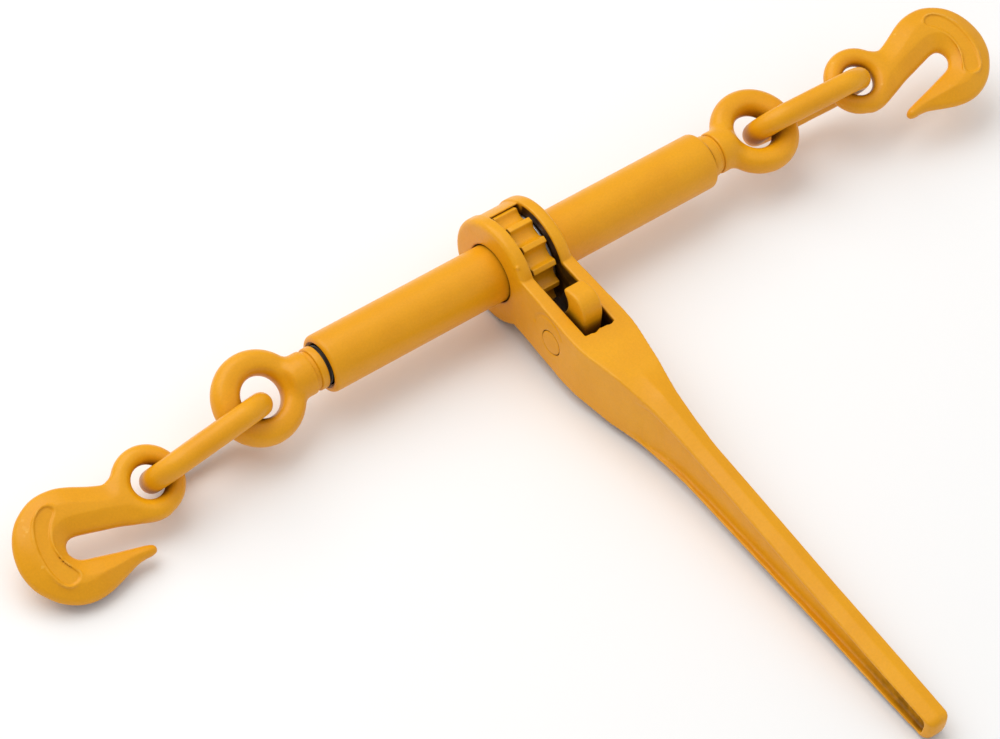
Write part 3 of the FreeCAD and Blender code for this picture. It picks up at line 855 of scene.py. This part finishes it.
for s, side in ((-1, "left"), (1, "right")):
    threaded_rod(side)
    eye_head(side)
    prof = round_profile([(-12.25, 0), (-12.25, 1.97), (12.25, 1.97), (12.25, 0)], [0, 0.35, 0.35, 0], 4)
    up = np.array([[0, 1, 0], [0, 0, 1], [1, 0, 0]], float)      # local X to +Z
    ob = lathe(side + "_stop_roll_pin", prof, up, (s * 5.5, 0, 0), seg=32, closed=False)
    give(ob, STEEL, side + "_eye", (side + "_stop_pin",))

# ------------------------------------------------------------------ links
LINKS = {
    "left": {"a": (-165.46, -2.98, -1.52), "dir": (-0.9921, -0.0765, -0.0993), "w": (-0.0534, -0.4588, 0.8869)},
    "right": {"a": (164.46, -0.73, -0.89), "dir": (0.9924, -0.0770, 0.0962), "w": (-0.1196, -0.4164, 0.9013)},
}
LINK_R, LINK_HW, LINK_PITCH = 6.35, 16.35, 68.0


def unit(v):
    v = np.asarray(v, float)
    return v / np.linalg.norm(v)


def link_frame(side):
    d = unit(LINKS[side]["dir"])
    w = np.asarray(LINKS[side]["w"], float)
    w = unit(w - d * (w @ d))
    return np.asarray(LINKS[side]["a"], float), d, w, np.cross(d, w)


def make_link(side):
    a, d, w, m = link_frame(side)
    u0, u1 = LINK_HW, LINK_PITCH - LINK_HW
    path = []
    for t in np.linspace(math.pi / 2, 3 * math.pi / 2, 40, endpoint=False):
        path.append((u0 + LINK_HW * math.cos(t), LINK_HW * math.sin(t), 0))
    for t in np.linspace(0, 1, 26, endpoint=False):
        path.append((u0 + (u1 - u0) * t, -LINK_HW, 0))
    for t in np.linspace(-math.pi / 2, math.pi / 2, 40, endpoint=False):
        path.append((u1 + LINK_HW * math.cos(t), LINK_HW * math.sin(t), 0))
    for t in np.linspace(0, 1, 26, endpoint=False):
        path.append((u1 + (u0 - u1) * t, LINK_HW, 0))
    n = len(path)

    def wire(f, th):
        # closed by a weld on the side away from the light, dressed almost flush
        i = f * n
        c = 40 + 13
        g = math.exp(-((i - c) / 2.6) ** 2)
        squeeze = -0.35 * math.exp(-((abs(i - c) - 7.0) / 2.5) ** 2)
        return 6.3 + (0.0 + 0.05 * np.sin(3 * th + 1.0)) * g + squeeze * 0.25
    ob = tube_along(side + "_oval_link", path, LINK_R, seg=40, closed=True,
                    m=np.stack([d, w, m], 1), o=a, radius_fn=wire)
    ob.data.materials.append(PAINT)
    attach(ob, side + "_link")
    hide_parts(side + "_link")


make_link("left")
make_link("right")

# ------------------------------------------------------------------ hooks
HOOK_OUT = [(-18, 9.9), (-21.5, 9.6), (-26, 11.2), (-32, 14), (-38, 16.9), (-44, 19), (-51, 19.9), (-57.8, 19.2), (-64.2, 16.6),
            (-69.8, 12.8), (-74.4, 7.4), (-77.9, 0.5), (-79.7, -7.5), (-79.5, -14), (-77.8, -20.5), (-74.6, -26), (-70.2, -31.4), (-64.7, -35.6),
            (-58.7, -38.3), (-52, -39.4), (-45, -38.9), (-38, -37.2), (-31, -35), (-26, -33.5), (-21.5, -33), (-17.6, -33.1), (-14.8, -32.4),
            (-13.8, -30.3), (-14.9, -28.3), (-18, -26.9), (-26, -24.7), (-34, -22.6), (-42, -20.3), (-48, -18.6), (-51.6, -16.6), (-53.8, -12.8),
            (-53, -8.9), (-50.4, -6.8), (-46.5, -6.7), (-40, -8.4), (-32, -10.7), (-24, -13), (-16, -15.9), (-9, -17.9), (-3.5, -18.9),
            (1.5, -18.0), (2.0, -14.5), (-3.0, -11.0), (-6.5, -3), (-8.5, 3.5), (-11.5, 7.8), (-14.8, 9.6)]
KIDNEY = [(-54, 12.6), (-58.3, 12.4), (-63, 9.2), (-66.7, 3.6), (-68.9, -3.4), (-69.7, -11), (-69.1, -18.6), (-66.7, -25.2), (-63, -28),
          (-58.3, -27.2), (-56.5, -24.4), (-58, -20.6), (-60.4, -15.6), (-61.4, -9.2), (-60.2, -2.4), (-56.5, 3.4), (-52.4, 7.2), (-51.4, 10.2)]
HOOKS = {
    "left": {"n": (0.011, -0.376, 0.927), "off": (-2.39, 0.59), "flip": False},
    "right": {"n": (-0.069, -0.284, 0.956), "off": (0.0, 0.0), "flip": True},
}
HOOK_K = 1.012
_hook = {}


def hook_mesh():
    if _hook:
        return _hook["v"], _hook["f"]
    h = 0.55
    lo, hi = (-85.5, -42.5, -8.8), (21.5, 22.5, 8.8)
    u, v, n = grid(lo, hi, h)
    out = resample(np.array(HOOK_OUT) * HOOK_K, 5)
    d2 = poly_sdf(u[:, :, 0], v[:, :, 0], out)[:, :, None]
    r = np.hypot(u, v)
    top = np.interp(u, [-86, -80, -74, -44, -31, -20, -13, 10], [5.9, 6.7, 7.0, 7.0, 6.7, 5.9, 5.3, 5.0])
    inside = np.clip(-d2, 0, None)
    # wide forged bevels on both edges of the plate
    bev = 9.4
    drop = np.interp(u, [-86, -60, -30, -10], [4.6, 4.8, 4.4, 2.0])
    half = top - drop * (1 - np.clip(inside / bev, 0, 1)) ** 1.0
    # soften the crest line of the bevel
    soft = 0.12 * np.exp(-((inside - bev) / 1.4) ** 2)
    half = half - soft
    body = smax(d2 + 0 * n, (np.abs(n) - half) * 0.92, 2.8)
    hole = 13.4 - r
    body = smax(body, hole, 1.5)
    torus = np.hypot(r - 14.1, n) - 5.15
    body = smin(body, torus, 3.4)
    body = smax(body, 8.9 - r, 0.8)
    # kidney-shaped recess along the bow on both faces, with a raised lip at its edge
    kd = poly_sdf(u[:, :, 0], v[:, :, 0], resample(KIDNEY, 5))[:, :, None]
    rec = smax(kd + 0 * n, 6.05 - np.abs(n), 0.9)
    body = smax(body, -rec, 0.6)
    lip = np.hypot(kd - 0.35, (np.abs(n) - 6.55)) - 0.62
    body = smin(body, lip, 0.8)
    body = np.maximum(body, np.abs(n) - 7.02)
    vv, ff = surface_nets(body, lo, h)
    _hook["v"], _hook["f"] = vv, ff
    return vv, ff


def make_hook(side):
    a, d, w, m = link_frame(side)
    b = a + d * LINK_PITCH
    n = unit(HOOKS[side]["n"])
    e1 = unit(np.array([1, 0, 0]) - n * n[0])
    e2 = np.cross(n, e1)
    ou, ov = HOOKS[side]["off"]
    o = b + e1 * ou + e2 * ov
    if HOOKS[side]["flip"]:
        t = math.radians(1.3)
        u = -e1 * math.cos(t) + e2 * math.sin(t)
        v = e1 * math.sin(t) + e2 * math.cos(t)
    else:
        u, v = e1, e2
    vv, ff = hook_mesh()
    ob = new_mesh(side + "_grab_hook", to_row(vv, np.stack([u, v, np.cross(u, v)], 1), o), ff, 0)
    give(ob, PAINT, side + "_hook", (side + "_hook",))


make_hook("left")
make_hook("right")

# ------------------------------------------------------------------ floor, light, camera
def stage_material():
    m = bpy.data.materials.new("stage_white")
    m.use_nodes = True
    n, l = m.node_tree.nodes, m.node_tree.links
    bs = n["Principled BSDF"]
    t = n.new("ShaderNodeTexNoise")
    t.inputs["Scale"].default_value = 3.0
    r = n.new("ShaderNodeValToRGB")
    r.color_ramp.elements[0].color = (0.93, 0.93, 0.93, 1)
    r.color_ramp.elements[1].color = (0.95, 0.95, 0.95, 1)
    l.new(t.outputs["Fac"], r.inputs["Fac"])
    l.new(r.outputs["Color"], bs.inputs["Base Color"])
    bs.inputs["Roughness"].default_value = 0.9
    bs.inputs["Specular IOR Level"].default_value = 0.1
    return m


S = 14.0
fl = new_mesh("floor", [(-S, -S, 0), (S, -S, 0), (S, S, 0), (-S, S, 0)], [(0, 1, 2, 3)], 0)
fl.data.materials.append(stage_material())

world = bpy.data.worlds.new("studio")
bpy.context.scene.world = world
world.use_nodes = True
bg = world.node_tree.nodes["Background"]
bg.inputs["Color"].default_value = (1.0, 1.0, 1.0, 1)
bg.inputs["Strength"].default_value = 0.50
bpy.context.scene.view_settings.view_transform = "Standard"


def area(name, loc, target, size, power, color=(1, 1, 1)):
    ld = bpy.data.lights.new(name, "AREA")
    ld.shape = "RECTANGLE"
    ld.size, ld.size_y = size
    ld.energy = power
    ld.color = color
    ob = bpy.data.objects.new(name, ld)
    bpy.context.scene.collection.objects.link(ob)
    dv = Vector(target) - Vector(loc)
    ob.matrix_world = Matrix.Translation(Vector(loc)) @ dv.to_track_quat("-Z", "Y").to_matrix().to_4x4()
    return ob


# camera from the pose of the working frame in view: rows are right, down and forward
CAM_R = np.array([[0.7927250466606184, -0.6003834627544016, 0.1054831647608038],
                  [-0.43902511003180983, -0.6823649608801188, -0.5844955200210107],
                  [0.422899459870166, 0.4170344803659625, -0.8045112112502932]])
CAM_T = np.array([8.206824543070239, -57.4700524579919, 1837.5767146999942])
eye = -CAM_R.T @ CAM_T
right, down, fwd = (RX @ CAM_R[i] for i in range(3))
eye_row = (RX @ eye + SHIFT) * 0.001
cam = bpy.data.cameras.new("camera")
cam.lens = 126.3508
cam.sensor_width = 36.0
cam.sensor_fit = "HORIZONTAL"
cam.clip_start = 0.05
cam.clip_end = 50.0
cob = bpy.data.objects.new("camera", cam)
bpy.context.scene.collection.objects.link(cob)
mw = Matrix.Identity(4)
for i in range(3):
    mw[i][0], mw[i][1], mw[i][2], mw[i][3] = right[i], -down[i], -fwd[i], eye_row[i]
cob.matrix_world = mw
bpy.context.scene.camera = cob

up_l = Vector((-float(right[0]), -float(right[1]), 0)) * 0.9 + Vector((0.25, 0.45, 0)) + Vector((0, 0, 1.5))
area("key", tuple(up_l), (0, 0.0, 0.03), (1.9, 1.9), 22.0, (1.0, 0.985, 0.96))
area("top", (0.2, 0.1, 2.1), (0, 0, 0), (2.8, 2.8), 12.0)
area("fill", (1.6, -1.4, 1.0), (0, 0, 0.03), (1.6, 1.6), 3.5)
